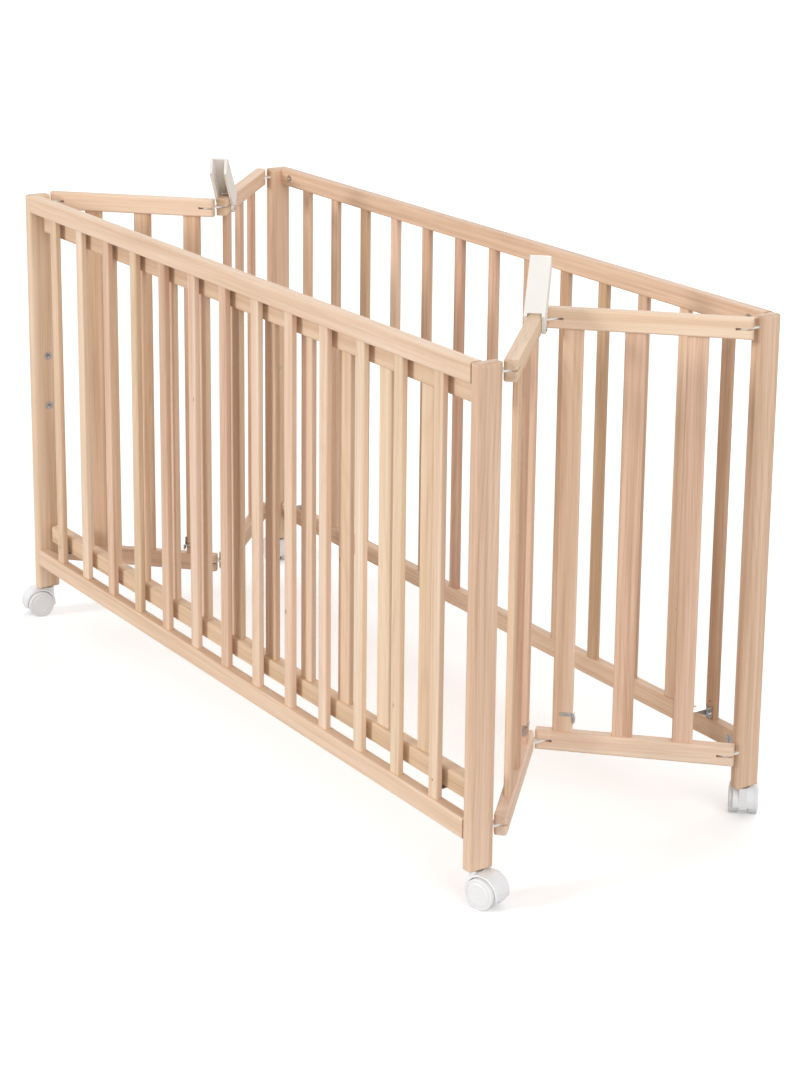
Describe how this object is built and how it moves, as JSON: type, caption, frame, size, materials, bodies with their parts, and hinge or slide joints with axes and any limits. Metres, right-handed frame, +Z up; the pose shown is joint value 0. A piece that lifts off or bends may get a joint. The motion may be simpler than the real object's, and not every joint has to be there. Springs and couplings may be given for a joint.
{
  "type": "folding playpen",
  "caption": "Slatted beech playpen on swivel casters; its ends fold inwards at the middle, with white latches and a slatted base folded up against one side.",
  "frame": {"origin": "on the floor under the middle of the playpen, ends half folded", "axes": "+X along the length towards the right end, +Y from the near side to the far side, +Z up"},
  "size_m": [1.3088, 0.5335, 0.7801],
  "materials": {
    "beech": "sanded and clear lacquered, satin",
    "zinc_steel": "bright zinc plated",
    "white_nylon": "moulded, satin",
    "caster_plastic": "moulded, semi-gloss"
  },
  "bodies": {
    "near_side": {"near_left_post": "beech", "near_right_post": "beech", "near_top_rail": "beech", "near_bottom_rail": "beech", "near_slats": "beech", "near_hinge_plates": "white_nylon", "near_fittings": "zinc_steel", "near_base_hinges": "zinc_steel", "near_caster_stems": "zinc_steel"},
    "far_side": {"far_left_post": "beech", "far_right_post": "beech", "far_top_rail": "beech", "far_bottom_rail": "beech", "far_slats": "beech", "far_hinge_plates": "white_nylon", "far_fittings": "zinc_steel", "far_base_brackets": "zinc_steel", "far_caster_stems": "zinc_steel"},
    "right_near_half": {"right_near_top_rail": "beech", "right_near_bottom_rail": "beech", "right_near_slats": "beech", "right_near_pins": "zinc_steel", "right_near_hook": "zinc_steel"},
    "right_far_half": {"right_far_top_rail": "beech", "right_far_bottom_rail": "beech", "right_far_slats": "beech", "right_far_pins": "zinc_steel", "right_far_hook": "zinc_steel"},
    "left_near_half": {"left_near_top_rail": "beech", "left_near_bottom_rail": "beech", "left_near_slats": "beech", "left_near_pins": "zinc_steel", "left_near_hook": "zinc_steel"},
    "left_far_half": {"left_far_top_rail": "beech", "left_far_bottom_rail": "beech", "left_far_slats": "beech", "left_far_pins": "zinc_steel", "left_far_hook": "zinc_steel"},
    "right_mid_link": {"right_links": "white_nylon"},
    "left_mid_link": {"left_links": "white_nylon"},
    "right_latch_arm": {"right_latch": "white_nylon"},
    "left_latch_arm": {"left_latch": "white_nylon"},
    "base": {"base_lower_rail": "beech", "base_upper_rail": "beech", "base_slats": "beech", "base_hinge_pins": "zinc_steel"},
    "near_left_caster": {"near_left_caster_hood": "caster_plastic", "near_left_axle": "zinc_steel"},
    "near_left_wheel_pair": {"near_left_wheels": "caster_plastic"},
    "near_right_caster": {"near_right_caster_hood": "caster_plastic", "near_right_axle": "zinc_steel"},
    "near_right_wheel_pair": {"near_right_wheels": "caster_plastic"},
    "far_left_caster": {"far_left_caster_hood": "caster_plastic", "far_left_axle": "zinc_steel"},
    "far_left_wheel_pair": {"far_left_wheels": "caster_plastic"},
    "far_right_caster": {"far_right_caster_hood": "caster_plastic", "far_right_axle": "zinc_steel"},
    "far_right_wheel_pair": {"far_right_wheels": "caster_plastic"}
  },
  "joints": [
    {"name": "fold", "type": "hinge", "parent": "right_near_half", "child": "near_side", "pos_m": [0.611, -0.18883, 0], "axis": [0, 0, 1], "range_deg": [-44.5, 45.5]},
    {"name": "right_link_near_pin", "type": "hinge", "parent": "right_mid_link", "child": "right_near_half", "pos_m": [0.43411, -0.015, 0], "axis": [0, 0, -1], "range_deg": [-44.5, 45.5]},
    {"name": "right_link_far_pin", "type": "hinge", "parent": "right_mid_link", "child": "right_far_half", "pos_m": [0.43411, 0.015, 0], "axis": [0, 0, 1], "range_deg": [-44.5, 45.5]},
    {"name": "right_far_post_pin", "type": "hinge", "parent": "right_far_half", "child": "far_side", "pos_m": [0.611, 0.18883, 0], "axis": [0, 0, -1], "range_deg": [-44.5, 45.5]},
    {"name": "left_near_post_pin", "type": "hinge", "parent": "near_side", "child": "left_near_half", "pos_m": [-0.611, -0.18883, 0], "axis": [0, 0, 1], "range_deg": [-44.5, 45.5]},
    {"name": "left_link_near_pin", "type": "hinge", "parent": "left_near_half", "child": "left_mid_link", "pos_m": [-0.43411, -0.015, 0], "axis": [0, 0, -1], "range_deg": [-44.5, 45.5]},
    {"name": "left_link_far_pin", "type": "hinge", "parent": "left_mid_link", "child": "left_far_half", "pos_m": [-0.43411, 0.015, 0], "axis": [0, 0, -1], "range_deg": [-44.5, 45.5]},
    {"name": "right_latch_rivet", "type": "hinge", "parent": "right_near_half", "child": "right_latch_arm", "pos_m": [0.44802, -0.02867, 0.6925], "axis": [-0.7009, -0.7133, 0], "range_deg": [0, 12]},
    {"name": "left_latch_rivet", "type": "hinge", "parent": "left_far_half", "child": "left_latch_arm", "pos_m": [-0.44802, 0.02867, 0.6925], "axis": [0.7009, 0.7133, 0], "range_deg": [0, 12]},
    {"name": "base_hinge", "type": "hinge", "parent": "near_side", "child": "base", "pos_m": [0, -0.21183, 0.14], "axis": [-1, 0, 0], "range_deg": [0, 2]},
    {"name": "near_left_swivel", "type": "hinge", "parent": "near_side", "child": "near_left_caster", "pos_m": [-0.611, -0.22583, 0.0455], "axis": [0, 0, 1], "continuous": true},
    {"name": "near_left_roll", "type": "hinge", "parent": "near_left_caster", "child": "near_left_wheel_pair", "pos_m": [-0.61378, -0.24158, 0.021], "axis": [0.9848, -0.1736, 0], "continuous": true},
    {"name": "near_right_swivel", "type": "hinge", "parent": "near_side", "child": "near_right_caster", "pos_m": [0.611, -0.22583, 0.0455], "axis": [0, 0, 1], "continuous": true},
    {"name": "near_right_roll", "type": "hinge", "parent": "near_right_caster", "child": "near_right_wheel_pair", "pos_m": [0.62622, -0.22088, 0.021], "axis": [-0.309, 0.9511, 0], "continuous": true},
    {"name": "far_left_swivel", "type": "hinge", "parent": "far_side", "child": "far_left_caster", "pos_m": [-0.611, 0.22583, 0.0455], "axis": [0, 0, 1], "continuous": true},
    {"name": "far_left_roll", "type": "hinge", "parent": "far_left_caster", "child": "far_left_wheel_pair", "pos_m": [-0.62622, 0.23077, 0.021], "axis": [-0.309, -0.9511, 0], "continuous": true},
    {"name": "far_right_swivel", "type": "hinge", "parent": "far_side", "child": "far_right_caster", "pos_m": [0.611, 0.22583, 0.0455], "axis": [0, 0, 1], "continuous": true},
    {"name": "far_right_roll", "type": "hinge", "parent": "far_right_caster", "child": "far_right_wheel_pair", "pos_m": [0.5993, 0.23674, 0.021], "axis": [-0.682, -0.7314, 0], "continuous": true}
  ],
  "couplings": [
    {"joint": "right_link_near_pin", "follows": "fold", "ratio": 1},
    {"joint": "right_link_far_pin", "follows": "fold", "ratio": 1},
    {"joint": "right_far_post_pin", "follows": "fold", "ratio": 1},
    {"joint": "left_near_post_pin", "follows": "fold", "ratio": 1},
    {"joint": "left_link_near_pin", "follows": "fold", "ratio": 1},
    {"joint": "left_link_far_pin", "follows": "fold", "ratio": 1}
  ]
}
